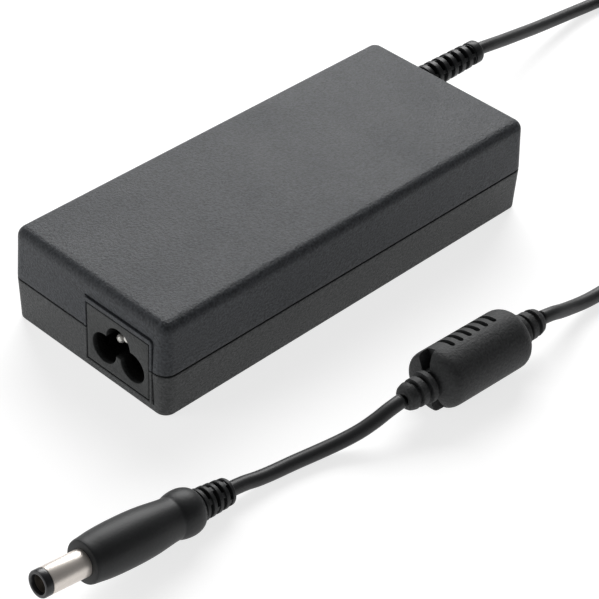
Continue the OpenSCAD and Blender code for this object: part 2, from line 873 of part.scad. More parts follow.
bottom_cover();
top_cover();
rating_label();
inlet_housing();
line_pin();
neutral_pin();
earth_pin();
line_wire();
neutral_wire();
earth_wire();
lower_shield();
upper_shield();
insulating_sheet();
circuit_board();
fuse();
thermistor();
varistor();
x_capacitor();
choke_core();
choke_winding_a();
choke_winding_b();
bridge_rectifier();
bulk_capacitor();
primary_heatsink();
switch_transistor();
transformer_bobbin();
transformer_core();
transformer_winding();
y_capacitor();
optocoupler();
controller_chip();
secondary_heatsink();
output_rectifier();
output_capacitor_a();
output_capacitor_b();
output_capacitor_c();
output_choke();
dc_wire_plus();
dc_wire_return();
dc_wire_sense();
cord_gland();
cord_lead();
cord_coil();
cord_tie();
cord_tail();
ferrite_core();
bead_cover();
plug_grip();
plug_barrel();
plug_tip_ring();
plug_contact();
plug_insulator();
plug_centre_pin();
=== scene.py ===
import json
import math
import bpy
import bmesh
from mathutils import Matrix, Vector


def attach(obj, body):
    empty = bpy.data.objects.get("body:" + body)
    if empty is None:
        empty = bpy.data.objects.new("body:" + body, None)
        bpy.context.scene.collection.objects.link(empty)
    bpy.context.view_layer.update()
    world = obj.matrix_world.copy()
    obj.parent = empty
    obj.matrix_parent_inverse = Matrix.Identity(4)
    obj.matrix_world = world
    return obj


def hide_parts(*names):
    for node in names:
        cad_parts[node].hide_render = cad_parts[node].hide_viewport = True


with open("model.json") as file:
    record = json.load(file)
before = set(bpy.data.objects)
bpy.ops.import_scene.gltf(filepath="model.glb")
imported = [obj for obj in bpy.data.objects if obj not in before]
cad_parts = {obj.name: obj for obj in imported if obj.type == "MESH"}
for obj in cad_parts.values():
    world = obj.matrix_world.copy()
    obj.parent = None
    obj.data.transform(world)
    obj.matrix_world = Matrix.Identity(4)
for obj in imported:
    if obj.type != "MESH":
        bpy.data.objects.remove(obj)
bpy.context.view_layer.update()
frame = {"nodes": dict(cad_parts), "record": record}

MM = 0.001
tan = lambda deg: math.tan(math.radians(deg))

# ---------------------------------------------------------------- camera and light

CAMERA_AT = (-0.3318, -0.3208, 0.3508)
CAMERA_RIGHT = (0.7042, -0.7091, 0.0347)
CAMERA_AHEAD = (0.5718, 0.5375, -0.6198)
LENS, SENSOR = 133.6, 36
WORLD_LIGHT = 0.13


def set_camera():
    right = Vector(CAMERA_RIGHT).normalized()
    ahead = Vector(CAMERA_AHEAD).normalized()
    up = right.cross(ahead).normalized()
    right = ahead.cross(up).normalized()
    data = bpy.data.cameras.new("camera")
    data.sensor_width = SENSOR
    data.lens = LENS
    data.clip_start = 0.01
    cam = bpy.data.objects.new("camera", data)
    bpy.context.scene.collection.objects.link(cam)
    m = Matrix((right, up, -ahead)).transposed().to_4x4()
    m.translation = Vector(CAMERA_AT)
    cam.matrix_world = m
    bpy.context.scene.camera = cam
    return cam


def area_light(name, place, target, size, power, colour=(1, 1, 1), size_y=None):
    data = bpy.data.lights.new(name, "AREA")
    data.energy = power
    data.color = colour
    data.size = size
    if size_y:
        data.shape = "RECTANGLE"
        data.size_y = size_y
    lamp = bpy.data.objects.new(name, data)
    lamp.location = place
    aim = Vector(target) - Vector(place)
    lamp.rotation_euler = aim.to_track_quat("-Z", "Y").to_euler()
    bpy.context.scene.collection.objects.link(lamp)
    return lamp


def set_world(colour, strength):
    world = bpy.data.worlds.new("studio")
    world.use_nodes = True
    back = world.node_tree.nodes["Background"]
    back.inputs[0].default_value = (*colour, 1)
    back.inputs[1].default_value = strength
    bpy.context.scene.world = world


set_camera()
set_world((1, 1, 1), WORLD_LIGHT)
bpy.context.scene.view_settings.view_transform = "Standard"
area_light("back", (0.68, 0.66, 0.72), (0.0, 0.0, 0.0), 0.95, 18, size_y=0.7)
area_light("left", (-0.85, 0.50, 0.25), (-0.05, -0.02, 0.0), 0.5, 2.5)

# ---------------------------------------------------------------- materials

def nodes_of(name):
    mat = bpy.data.materials.new(name)
    mat.use_nodes = True
    tree = mat.node_tree
    return mat, tree, tree.nodes["Principled BSDF"]


def noise(tree, scale, detail=2.0, rough=0.5, stretch=None):
    coord = tree.nodes.new("ShaderNodeTexCoord")
    out = coord.outputs["Object"]
    if stretch:
        mapping = tree.nodes.new("ShaderNodeMapping")
        mapping.inputs["Scale"].default_value = stretch
        tree.links.new(out, mapping.inputs["Vector"])
        out = mapping.outputs["Vector"]
    tex = tree.nodes.new("ShaderNodeTexNoise")
    tex.inputs["Scale"].default_value = scale
    tex.inputs["Detail"].default_value = detail
    tex.inputs["Roughness"].default_value = rough
    tree.links.new(out, tex.inputs["Vector"])
    return tex.outputs["Fac"]


def ramp(tree, fac, low, high, a=0.3, b=0.7):
    node = tree.nodes.new("ShaderNodeValToRGB")
    node.color_ramp.elements[0].position = a
    node.color_ramp.elements[1].position = b
    node.color_ramp.elements[0].color = (*low, 1)
    node.color_ramp.elements[1].color = (*high, 1)
    tree.links.new(fac, node.inputs["Fac"])
    return node.outputs["Color"]


def bump(tree, bsdf, height, strength, distance, after=None):
    node = tree.nodes.new("ShaderNodeBump")
    node.inputs["Strength"].default_value = strength
    node.inputs["Distance"].default_value = distance
    tree.links.new(height, node.inputs["Height"])
    if after is not None:
        tree.links.new(after, node.inputs["Normal"])
    tree.links.new(node.outputs["Normal"], bsdf.inputs["Normal"])
    return node.outputs["Normal"]


def scaled(c, k):
    return tuple(min(1.0, v * k) for v in c)


def plastic(name, colour, rough=0.5, grain=2200, relief=0.35, depth=0.00004, spread=0.12,
            specular=0.5, patch=60, mottle=0.4):
    """Moulded plastic or rubber: fine surface grain, slight mottling and uneven gloss."""
    mat, tree, bsdf = nodes_of(name)
    fine = noise(tree, grain, 3, 0.6)
    broad = noise(tree, patch, 3, 0.5)
    mix = tree.nodes.new("ShaderNodeMix")
    mix.data_type = "RGBA"
    mix.inputs["Factor"].default_value = 0.5
    a = ramp(tree, fine, scaled(colour, 1 - spread), scaled(colour, 1 + spread))
    b = ramp(tree, broad, scaled(colour, 1 - spread * mottle), scaled(colour, 1 + spread * mottle))
    tree.links.new(a, mix.inputs[6])
    tree.links.new(b, mix.inputs[7])
    tree.links.new(mix.outputs[2], bsdf.inputs["Base Color"])
    gloss = ramp(tree, broad, (rough - 0.03,) * 3, (rough + 0.04,) * 3)
    tree.links.new(gloss, bsdf.inputs["Roughness"])
    bsdf.inputs["Specular IOR Level"].default_value = specular
    bump(tree, bsdf, fine, relief, depth)
    return mat


def metal(name, colour, rough=0.25, brush=(1, 1, 1), scale=900, metallic=1.0):
    mat, tree, bsdf = nodes_of(name)
    lines = noise(tree, scale, 4, 0.6, stretch=brush)
    tree.links.new(ramp(tree, lines, scaled(colour, 0.88), scaled(colour, 1.04)),
                   bsdf.inputs["Base Color"])
    tree.links.new(ramp(tree, lines, (rough - 0.06,) * 3, (rough + 0.08,) * 3),
                   bsdf.inputs["Roughness"])
    bsdf.inputs["Metallic"].default_value = metallic
    bump(tree, bsdf, lines, 0.12, 0.00002)
    return mat


def paint_recess_shade(mat, start, end, least):
    """Paints shade into a material's colour, darkening it from one x to another: painted shade for
    deep recesses.
    """
    tree = mat.node_tree
    bsdf = tree.nodes["Principled BSDF"]
    coord = tree.nodes.new("ShaderNodeTexCoord")
    parts = tree.nodes.new("ShaderNodeSeparateXYZ")
    tree.links.new(coord.outputs["Object"], parts.inputs[0])
    span = tree.nodes.new("ShaderNodeMapRange")
    for i, v in ((1, start), (2, end), (3, 1.0), (4, least)):
        span.inputs[i].default_value = v
    tree.links.new(parts.outputs["X"], span.inputs[0])
    mix = tree.nodes.new("ShaderNodeMix")
    mix.data_type = "RGBA"
    mix.inputs[6].default_value = (0, 0, 0, 1)
    tree.links.new(bsdf.inputs["Base Color"].links[0].from_socket, mix.inputs[7])
    tree.links.new(span.outputs[0], mix.inputs["Factor"])
    tree.links.new(mix.outputs[2], bsdf.inputs["Base Color"])
    return mat


M = {
    "case_upper": plastic("case_upper", (0.045, 0.0485, 0.054), 0.47, 1700, 1.0, 0.00025, 0.9, 0.2,
                          mottle=0.05),
    "case_lower": plastic("case_lower", (0.055, 0.057, 0.058), 0.50, 1700, 1.0, 0.0003, 0.9, 0.22,
                          mottle=0.05),
    "label": plastic("label", (0.50, 0.51, 0.52), 0.35, 3000, 0.1, 0.00001, 0.04),
    # painted recess shade: the inlet plastic fades to nearly black from 0.2 to 1.6 mm behind the
    # face
    "inlet_plastic": paint_recess_shade(
        plastic("inlet_plastic", (0.037, 0.039, 0.039), 0.5, 1700, 0.9, 0.0002, 0.7, specular=0.25),
        -0.0648, -0.0634, 0.03),
    "contact_brass": metal("contact_brass", (0.95, 0.93, 0.88), 0.25, metallic=0.3),
    "wire_brown": plastic("wire_brown", (0.16, 0.06, 0.025), 0.4),
    "wire_blue": plastic("wire_blue", (0.02, 0.07, 0.30), 0.4),
    "wire_green": plastic("wire_green", (0.08, 0.24, 0.03), 0.4),
    "wire_red": plastic("wire_red", (0.36, 0.02, 0.015), 0.4),
    "wire_black": plastic("wire_black", (0.02, 0.02, 0.022), 0.4),
    "wire_white": plastic("wire_white", (0.62, 0.60, 0.55), 0.4),
    "shield_metal": metal("shield_metal", (0.78, 0.79, 0.80), 0.32, (1, 12, 12)),
    "insulating_film": plastic("insulating_film", (0.55, 0.52, 0.43), 0.45),
    "board": plastic("board", (0.015, 0.085, 0.035), 0.35, 1200, 0.5, 0.00005, 0.3),
    "fuse_body": plastic("fuse_body", (0.55, 0.52, 0.42), 0.2),
    "dark_green_disc": plastic("dark_green_disc", (0.02, 0.05, 0.03), 0.45),
    "blue_disc": plastic("blue_disc", (0.02, 0.10, 0.32), 0.3),
    "yellow_block": plastic("yellow_block", (0.60, 0.36, 0.02), 0.35),
    "ferrite": plastic("ferrite", (0.022, 0.022, 0.024), 0.55, 1400, 0.6, 0.00006, 0.25),
    "copper_wire": metal("copper_wire", (0.62, 0.22, 0.08), 0.3, (6, 6, 60)),
    "black_epoxy": plastic("black_epoxy", (0.014, 0.014, 0.016), 0.55),
    "can_sleeve": plastic("can_sleeve", (0.012, 0.014, 0.024), 0.25),
    "heatsink_metal": metal("heatsink_metal", (0.74, 0.75, 0.76), 0.38, (1, 20, 1)),
    "bobbin_plastic": plastic("bobbin_plastic", (0.03, 0.022, 0.018), 0.5),
    "yellow_tape": plastic("yellow_tape", (0.56, 0.34, 0.03), 0.3),
    "white_epoxy": plastic("white_epoxy", (0.60, 0.58, 0.52), 0.5),
    "output_can": plastic("output_can", (0.035, 0.015, 0.12), 0.3),
    "cord_mould": plastic("cord_mould", (0.014, 0.015, 0.016), 0.42, 1500, 0.35, specular=0.3),
    "cord_jacket": plastic("cord_jacket", (0.026, 0.027, 0.028), 0.46, 1300, 0.35, specular=0.35),
    "tie_plastic": plastic("tie_plastic", (0.02, 0.02, 0.022), 0.7, 2600, 0.9, 0.00012, 0.4),
    "bead_plastic": plastic("bead_plastic", (0.036, 0.037, 0.038), 0.58, 1600, 0.9, 0.0002, 0.6,
                            0.25, mottle=0.1),
    "plug_mould": plastic("plug_mould", (0.018, 0.019, 0.020), 0.50, 1700, 0.5, 0.00006, 0.25, 0.3),
    "plug_metal": metal("plug_metal", (0.86, 0.795, 0.735), 0.36, (3, 30, 30), 500, 0.6),
    # a dark copy of the plug metal: painted shade for the contact inside the bore
    "bore_metal_painted_shade": metal("bore_metal_painted_shade", (0.22, 0.20, 0.18), 0.45, (3, 30, 30), 500),
    "plug_black": plastic("plug_black", (0.014, 0.014, 0.016), 0.3),
    "insulator_plastic": plastic("insulator_plastic", (0.04, 0.04, 0.04), 0.5),
}

# ---------------------------------------------------------------- mesh helpers

def piece_from(name, verts, faces, slot, replaces=(), sharp=30, place=None):
    mesh = bpy.data.meshes.new(name)
    pts = [Vector(v) * MM for v in verts]
    if place is not None:
        pts = [place @ p for p in pts]
    mesh.from_pydata(pts, [], faces)
    return finish_piece(name, mesh, slot, replaces, sharp)


def finish_piece(name, mesh, slot, replaces=(), sharp=30):
    bm = bmesh.new()
    bm.from_mesh(mesh)
    bmesh.ops.recalc_face_normals(bm, faces=bm.faces)
    bm.to_mesh(mesh)
    bm.free()
    mesh.shade_smooth()
    mesh.set_sharp_from_angle(angle=math.radians(sharp))
    obj = bpy.data.objects.new(name, mesh)
    bpy.context.scene.collection.objects.link(obj)
    obj.data.materials.append(M[slot])
    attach(obj, "root")
    if replaces:
        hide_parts(*replaces)
    return obj


def loft(rings, fill=(True, True)):
    """Faces between rings of equal length; the ends can be closed."""
    verts = [p for ring in rings for p in ring]
    n = len(rings[0])
    faces = []
    for i in range(len(rings) - 1):
        for k in range(n):
            j = (k + 1) % n
            faces.append((i * n + k, i * n + j, (i + 1) * n + j, (i + 1) * n + k))
    if fill[0]:
        faces.append(tuple(reversed(range(n))))
    if fill[1]:
        faces.append(tuple((len(rings) - 1) * n + k for k in range(n)))
    return verts, faces


def closed_loft(rings):
    """A ring-shaped body: the last ring joins the first."""
    verts = [p for ring in rings for p in ring]
    n, m = len(rings[0]), len(rings)
    faces = []
    for i in range(m):
        for k in range(n):
            j, q = (k + 1) % n, (i + 1) % m
            faces.append((i * n + k, i * n + j, q * n + j, q * n + k))
    return verts, faces


def axis_place(origin, turn, roll=0.0, pitch=0.0):
    """Puts a piece drawn along its own X axis into the scene. Millimetres and degrees."""
    return (Matrix.Translation(Vector(origin) * MM)
            @ Matrix.Rotation(math.radians(turn), 4, "Z")
            @ Matrix.Rotation(math.radians(pitch), 4, "Y")
            @ Matrix.Rotation(math.radians(roll), 4, "X"))


def lathe(name, profile, slot, replaces=(), place=None, n=64, closed=False, sharp=30):
    """profile: (s, r) pairs along the X axis. A closed profile makes a tube."""
    rings = []
    for s, r in profile:
        rings.append([(s, r * math.cos(2 * math.pi * k / n), r * math.sin(2 * math.pi * k / n))
                      for k in range(n)])
    verts, faces = closed_loft(rings) if closed else loft(rings)
    return piece_from(name, verts, faces, slot, replaces, sharp, place)


def sleeve_rings(profile, windows, n):
    """Round body with sunk windows. windows: (s0, s1, middle angle, half angle, floor radius).
    An angle is measured from +Z towards +Y."""
    edge_s, edge_a = 0.10, 2.0
    stations = []
    cuts = sorted({round(v, 4) for w in windows
                   for v in (w[0], w[0] + edge_s, w[1] - edge_s, w[1])})
    for i, (s, r) in enumerate(profile):
        stations.append((s, r))
        if i + 1 < len(profile):
            s2, r2 = profile[i + 1]
            for c in cuts:
                if s + 1e-4 < c < s2 - 1e-4:
                    stations.append((c, r + (r2 - r) * (c - s) / (s2 - s)))
    angles = {round(360 * k / n, 3) for k in range(n)}
    for _, _, mid, half, _ in windows:
        for v in (mid - half, mid - half + edge_a, mid + half - edge_a, mid + half):
            angles.add(round(v % 360, 3))
    angles = sorted(angles)
    rings = []
    for s, r in stations:
        ring = []
        for a in angles:
            radius = r
            for s0, s1, mid, half, floor in windows:
                if s0 - 1e-6 <= s <= s1 + 1e-6:
                    off = abs((a - mid + 180) % 360 - 180)
                    ka = max(0.0, min(1.0, (half - off) / edge_a))
                    ks = max(0.0, min(1.0, min(s - s0, s1 - s) / edge_s))
                    k = min(ka, ks)
                    radius = min(radius, r + (floor - r) * k) if floor < r else radius
            t = math.radians(a)
            ring.append((s, radius * math.sin(t), radius * math.cos(t)))
        rings.append(ring)
    return rings


def boolean_cut(base, cutter):
    """base minus cutter, both plain meshes in metres."""
    objs = []
    for mesh in (base, cutter):
        bm = bmesh.new()
        bm.from_mesh(mesh)
        bmesh.ops.recalc_face_normals(bm, faces=bm.faces)
        bm.to_mesh(mesh)
        bm.free()
        o = bpy.data.objects.new(mesh.name, mesh)
        bpy.context.scene.collection.objects.link(o)
        objs.append(o)
    mod = objs[0].modifiers.new("cut", "BOOLEAN")
    mod.operation = "DIFFERENCE"
    mod.solver = "EXACT"
    mod.object = objs[1]
    bpy.context.view_layer.update()
    done = bpy.data.meshes.new_from_object(
        objs[0].evaluated_get(bpy.context.evaluated_depsgraph_get()))
    for o in objs:
        bpy.data.objects.remove(o)
    return done


def raw_mesh(name, parts, place=None):
    mesh = bpy.data.meshes.new(name)
    verts, faces = [], []
    for v, f in parts:
        base = len(verts)
        verts.extend(v)
        faces.extend([tuple(i + base for i in q) for q in f])
    pts = [Vector(v) * MM for v in verts]
    if place is not None:
        pts = [place @ q for q in pts]
    mesh.from_pydata(pts, [], faces)
    return mesh


def smooth_path(points, steps):
    """Catmull-Rom curve through the points."""
    out = []
    n = len(points)
    for i in range(n - 1):
        p0, p1 = Vector(points[max(i - 1, 0)]), Vector(points[i])
        p2, p3 = Vector(points[i + 1]), Vector(points[min(i + 2, n - 1)])
        for j in range(steps):
            t = j / steps
            out.append(0.5 * (2 * p1 + (p2 - p0) * t + (2 * p0 - 5 * p1 + 4 * p2 - p3) * t * t
                              + (3 * p1 - p0 - 3 * p2 + p3) * t ** 3))
    out.append(Vector(points[-1]))
    return out


def smooth_profile(points, steps=4):
    return [(v[0], v[1]) for v in smooth_path([(a, b, 0) for a, b in points], steps)]


# ---------------------------------------------------------------- sizes, as in the CAD

BODY_L, BODY_W, BODY_H, SEAM = 130.0, 56.0, 27.4, 12.6
CORNER, TOP_R, LOW_R = 3.6, 2.8, 0.6
TOP_DRAFT, LOW_DRAFT = 2.8, 2.6
CAV_L, CAV_W = 124.8, 50.8
FACE_X = -BODY_L / 2
INLET_Y, INLET_Z, INLET_W, INLET_H = -11.25, 11.7, 22.4, 17.2
SOCKET_Y, SOCKET_Z, LOBE, PITCH, EARTH_UP = -11.45, 9.7, 4.2, 5.0, 4.2
SOCKET_DEEP = 12.5
GLAND_Y, GLAND_L = 19.3, 34.5
GLAND_END = BODY_L / 2 + GLAND_L
CORD_D = 3.7
COIL_X, COIL_Y, COIL_R = 156.0, -42.0, 22.0
TIE_AT = 45.0     # degrees clockwise round the coil from +X
BEAD = (-1.0, -68.1, 7.9)
BEAD_TURN, BEAD_ROLL, BEAD_L, BEAD_R = -2.8, 26.0, 29.4, 7.9
TIP = (-128.2, -57.4, 11.5)
PLUG_TURN, PLUG_PITCH, RELIEF_END, REACH = -0.8, 7.9, 55.2, 12.3
BARREL_R, BORE_R, PIN_R = 3.25, 2.2, 0.7
RING_L, BARREL_BACK, SLEEVE_BACK, CONTACT_BACK = 2.0, 18.4, 16.8, 16.4
BLOCK_START, PIN_START = 11, 2.4
NECK_R = 4.1
CABLE_EXIT_IN = 0.6      # how far the cord's ends run inside the moulded ends

# ---------------------------------------------------------------- the cord

def on_axis(origin, turn, s, pitch=0.0):
    t, p = math.radians(turn), math.radians(pitch)
    return (origin[0] + s * math.cos(p) * math.cos(t), origin[1] + s * math.cos(p) * math.sin(t),
            origin[2] - s * math.sin(p))


def coil_points():
    """Turns lying four below, three above them and two on top. Each turn ends by moving
    one place on, a little earlier than the turn before it, so no two cords meet. The last
    quarter turn lies outside in the second row, and leaves from there."""
    d = CORD_D
    rows = [(1.5, 0), (0.5, 0), (-0.5, 0), (-1.5, 0), (-1.0, 1), (0.0, 1), (-0.5, 2), (0.5, 2),
            (1.0, 1)]
    lift = math.sqrt(3) / 2 * d
    beds = [(COIL_R + a * d, d / 2 + 0.02 + b * lift) for a, b in rows]
    step, move, last = 6, 30, 360 * (len(rows) - 1) + 90
    out = []
    for angle in range(0, last + 1, step):
        r, z = beds[-1]
        for k in range(len(beds) - 1):
            start = 360 * k + 330 - move * k
            if angle < start + move:
                t = max(0.0, (angle - start) / move)
                t = t * t * (3 - 2 * t)
                r, z = (beds[k][i] + (beds[k + 1][i] - beds[k][i]) * t for i in (0, 1))
                break
        # the tie lifts the bundle a little where it passes under it
        near = math.exp(-(((angle % 360) - TIE_AT) / 9.0) ** 2)
        t = math.radians(-angle)
        out.append((COIL_X + r * math.cos(t), COIL_Y + r * math.sin(t), z + 0.86 * near))
    return out


LEAD = [
    (GLAND_END - CABLE_EXIT_IN, GLAND_Y, SEAM), (GLAND_END + 2, GLAND_Y, SEAM), (106, 19.5, 11.8),
    (112, 20.1, 10.4), (120, 21.0, 8.6), (130, 22.2, 6.3), (140, 23.2, 4.4), (149, 23.8, 3.0),
    (157, 23.9, 2.1), (164, 23.3, 1.9), (170.5, 21.2, 1.9), (176, 17.5, 1.9),
    (180.3, 12, 1.9), (182.8, 5, 1.9), (183.5, -4, 1.9), (183.5, -14, 1.9), (183.5, -26.5, 1.9),
]
TAIL = [
    (151, -67.7, 5.45), (146, -67.8, 5.7), (140, -67.9, 4.9), (134, -68.1, 3.5),
    (127, -68.4, 2.3), (119, -68.7, 1.9), (108, -68.9, 1.9), (92, -69, 1.9),
    (76, -68.9, 1.9), (60, -68.9, 1.9), (50, -68.9, 2.1), (43, -68.9, 2.7), (37, -69.0, 4.0),
    (31.5, -69.4, 5.8), (27.5, -69.5, 7.2), on_axis(BEAD, BEAD_TURN, 24),
    on_axis(BEAD, BEAD_TURN, 20), on_axis(BEAD, BEAD_TURN, -20), on_axis(BEAD, BEAD_TURN, -24),
    (-29, -66.6, 7.2), (-33, -66.0, 5.8), (-37, -64.9, 4.2), (-41.5, -63.4, 2.9),
    (-47, -61.8, 2.1), (-54, -60.3, 1.9), (-60, -59.4, 2.0), (-64.5, -58.9, 2.5),
    (-68, -58.4, 3.1), on_axis(TIP, PLUG_TURN, RELIEF_END + 2, PLUG_PITCH),
    on_axis(TIP, PLUG_TURN, RELIEF_END - CABLE_EXIT_IN, PLUG_PITCH),
]


def make_cord():
    coil = coil_points()
    path = smooth_path(LEAD + coil[:2], 4)[:-1] + [Vector(p) for p in coil[1:-1]]
    path += smooth_path(coil[-2:] + TAIL, 4)[4:]
    curve = bpy.data.curves.new("dc_cord", "CURVE")
    curve.dimensions = "3D"
    spline = curve.splines.new("POLY")
    spline.points.add(len(path) - 1)
    for p, v in zip(spline.points, path):
        p.co = (v[0] * MM, v[1] * MM, v[2] * MM, 1)
    spline.use_smooth = True
    curve.bevel_depth = CORD_D / 2 * MM
    curve.bevel_resolution = 6
    curve.use_fill_caps = True
    obj = bpy.data.objects.new("dc_cord", curve)
    bpy.context.scene.collection.objects.link(obj)
    curve.materials.append(M["cord_jacket"])
    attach(obj, "root")
    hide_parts("cord_lead", "cord_coil", "cord_tail")
    length = sum((Vector(b) - Vector(a)).length for a, b in zip(path, path[1:])) * MM
    return obj, length


cord, cord_length = make_cord()
print("cord length", round(cord_length, 4))

# ---------------------------------------------------------------- case

def rect_ring(half_l, half_w, r, z, n=10):
    pts = []
    for cx, cy, a0 in ((half_l - r, half_w - r, 0), (-half_l + r, half_w - r, 90),
                       (-half_l + r, -half_w + r, 180), (half_l - r, -half_w + r, 270)):
        for k in range(n + 1):
            a = math.radians(a0 + 90 * k / n)
            pts.append((cx + r * math.cos(a), cy + r * math.sin(a), z))
    return pts


def case_ring(inset, z, least=0.3):
    return rect_ring(BODY_L / 2 - inset, BODY_W / 2 - inset, max(CORNER - inset, least), z)


def inner_ring(grow, z):
    return rect_ring(CAV_L / 2 + grow, CAV_W / 2 + grow, 1.6 + grow, z)


def box_verts(x0, x1, y0, y1, z0, z1):
    v = [(x, y, z) for x in (x0, x1) for y in (y0, y1) for z in (z0, z1)]
    f = [(0, 1, 3, 2), (4, 6, 7, 5), (0, 4, 5, 1), (2, 3, 7, 6), (0, 2, 6, 4), (1, 5, 7, 3)]
    return v, f


# Outer edges of the flat rim round the inlet
RIM = {"y0": INLET_Y - INLET_W / 2 - 0.9, "y1": INLET_Y + INLET_W / 2 + 0.75,
       "z0": INLET_Z - INLET_H / 2 - 0.9, "z1": INLET_Z + INLET_H / 2 + 1.45}


def cutter_mesh():
    """Inlet opening, gland hole and the fine line outside the inlet's rim."""
    verts, faces = [], []

    def add(v, f):
        base = len(verts)
        verts.extend(v)
        faces.extend([tuple(i + base for i in q) for q in f])

    add(*box_verts(FACE_X - 1, FACE_X + 5, INLET_Y - INLET_W / 2, INLET_Y + INLET_W / 2,
                   INLET_Z - INLET_H / 2, INLET_Z + INLET_H / 2))
    n = 48
    hole_r = NECK_R + 0.05
    rings = [[(x, GLAND_Y + hole_r * math.cos(2 * math.pi * k / n),
               SEAM + hole_r * math.sin(2 * math.pi * k / n)) for k in range(n)]
             for x in (BODY_L / 2 - 6, BODY_L / 2 + 2)]
    add(*loft(rings))
    # L-shaped line: along the top, round the corner, down the near side
    path = [(RIM["y1"] + 0.05, RIM["z1"] + 0.12)]
    r = 1.1
    cy, cz = RIM["y0"] - 0.12 + r, RIM["z1"] + 0.12 - r
    for k in range(9):
        a = math.radians(90 + 90 * k / 8)
        path.append((cy + r * math.cos(a), cz + r * math.sin(a)))
    path.append((RIM["y0"] - 0.12, RIM["z0"] + 0.1))
    w = 0.26        # half the width of the line
    rings = []
    for i, (y, z) in enumerate(path):
        a, b = path[max(i - 1, 0)], path[min(i + 1, len(path) - 1)]
        dy, dz = b[0] - a[0], b[1] - a[1]
        m = math.hypot(dy, dz)
        ny, nz = -dz / m * w, dy / m * w
        rings.append([(FACE_X - 1, y + ny, z + nz), (FACE_X + 1.0, y + ny, z + nz),
                      (FACE_X + 1.0, y - ny, z - nz), (FACE_X - 1, y - ny, z - nz)])
    add(*loft(rings))
    return verts, faces


def rim_loops():
    """The flat rim round the inlet, as a closed band drawn in the YZ plane."""
    n = 8
    r = 0.9

    def loop(grow, x, radius):
        y0, y1 = RIM["y0"] - grow, RIM["y1"] + grow
        z0, z1 = RIM["z0"] - grow, RIM["z1"] + grow
        pts = []
        for cy, cz, a0 in ((y1 - radius, z1 - radius, 0), (y0 + radius, z1 - radius, 90),
                           (y0 + radius, z0 + radius, 180), (y1 - radius, z0 + radius, 270)):
            for k in range(n + 1):
                a = math.radians(a0 + 90 * k / n)
                pts.append((x, cy + radius * math.cos(a), cz + radius * math.sin(a)))
        return pts

    def inside(grow, x):
        y0, y1 = INLET_Y - INLET_W / 2 - grow, INLET_Y + INLET_W / 2 + grow
        z0, z1 = INLET_Z - INLET_H / 2 - grow, INLET_Z + INLET_H / 2 + grow
        pts = []
        for cy, cz, a0 in ((y1, z1, 0), (y0, z1, 90), (y0, z0, 180), (y1, z0, 270)):
            for k in range(n + 1):
                a = math.radians(a0 + 90 * k / n)
                pts.append((x, cy + 0.05 * math.cos(a), cz + 0.05 * math.sin(a)))
        return pts

    front = FACE_X - 0.03
    return [loop(0, FACE_X + 1.6, r), loop(0, front + 0.22, r), loop(-0.06, front + 0.07, r),
            loop(-0.2, front, r), inside(0.16, front), inside(0.03, front + 0.10),
            inside(0, front + 0.3), inside(0, FACE_X + 1.6)]


def half_of(verts, faces, z, keep_above):
    bm = bmesh.new()
    vs = [bm.verts.new(Vector(v)) for v in verts]
    for f in faces:
        bm.faces.new([vs[i] for i in f])
    geom = bm.verts[:] + bm.edges[:] + bm.faces[:]
    bmesh.ops.bisect_plane(bm, geom=geom, plane_co=(0, 0, z), plane_no=(0, 0, 1),
                           clear_inner=keep_above, clear_outer=not keep_above)
    edges = [e for e in bm.edges if e.is_boundary]
    bmesh.ops.holes_fill(bm, edges=edges)
    bm.verts.index_update()
    v = [tuple(x.co) for x in bm.verts]
    f = [tuple(x.index for x in q.verts) for q in bm.faces]
    bm.free()
    return v, f


def make_cover(name, rings, rim_z, above, slot):
    verts, faces = loft(rings)
    done = boolean_cut(raw_mesh(name + "_body", [(verts, faces)]),
                       raw_mesh(name + "_cut", [cutter_mesh()]))
    rv, rf = half_of(*closed_loft(rim_loops()), rim_z, above)
    bm = bmesh.new()
    bm.from_mesh(done)
    vs = [bm.verts.new(Vector(v) * MM) for v in rv]
    bm.verts.index_update()
    for f in rf:
        bm.faces.new([vs[i] for i in f])
    bm.to_mesh(done)
    bm.free()
    done.name = name
    return finish_piece(name, done, slot, (name,), 24)


def arc_profile(inset0, z0, r, flip):
    """Quarter round at the top (or bottom) edge, from the side to the flat."""
    out = []
    for k in range(1, 11):
        a = math.radians(9 * k)
        out.append((inset0 + r * (1 - math.cos(a)), z0 + (r * math.sin(a)) * (-1 if flip else 1)))
    return out


GAP = 0.2       # half the width of the seam line
ROOF_T = 2.0
t_top, t_low = tan(TOP_DRAFT), tan(LOW_DRAFT)
roof = BODY_H - ROOF_T
top_in = (BODY_H - TOP_R - SEAM) * t_top
upper = [inner_ring(0, roof), inner_ring(0, SEAM + 1.35), inner_ring(1.1, SEAM + 1.35),
         inner_ring(1.1, SEAM + GAP)]
upper += [case_ring(i, z) for i, z in ((0.32, SEAM + GAP), (0.15, SEAM + GAP + 0.03),
                                       (0.05, SEAM + GAP + 0.13), (0.03, SEAM + GAP + 0.3))]
upper += [case_ring(h * t_top + 0.02, SEAM + h) for h in (1.5, 4, 7, 10)]
upper.append(case_ring(top_in, BODY_H - TOP_R))
upper += [case_ring(i, z) for i, z in arc_profile(top_in, BODY_H - TOP_R, TOP_R, False)]
upper.append(case_ring(top_in + TOP_R + 1.2, BODY_H))
make_cover("top_cover", upper, SEAM + GAP, True, "case_upper")

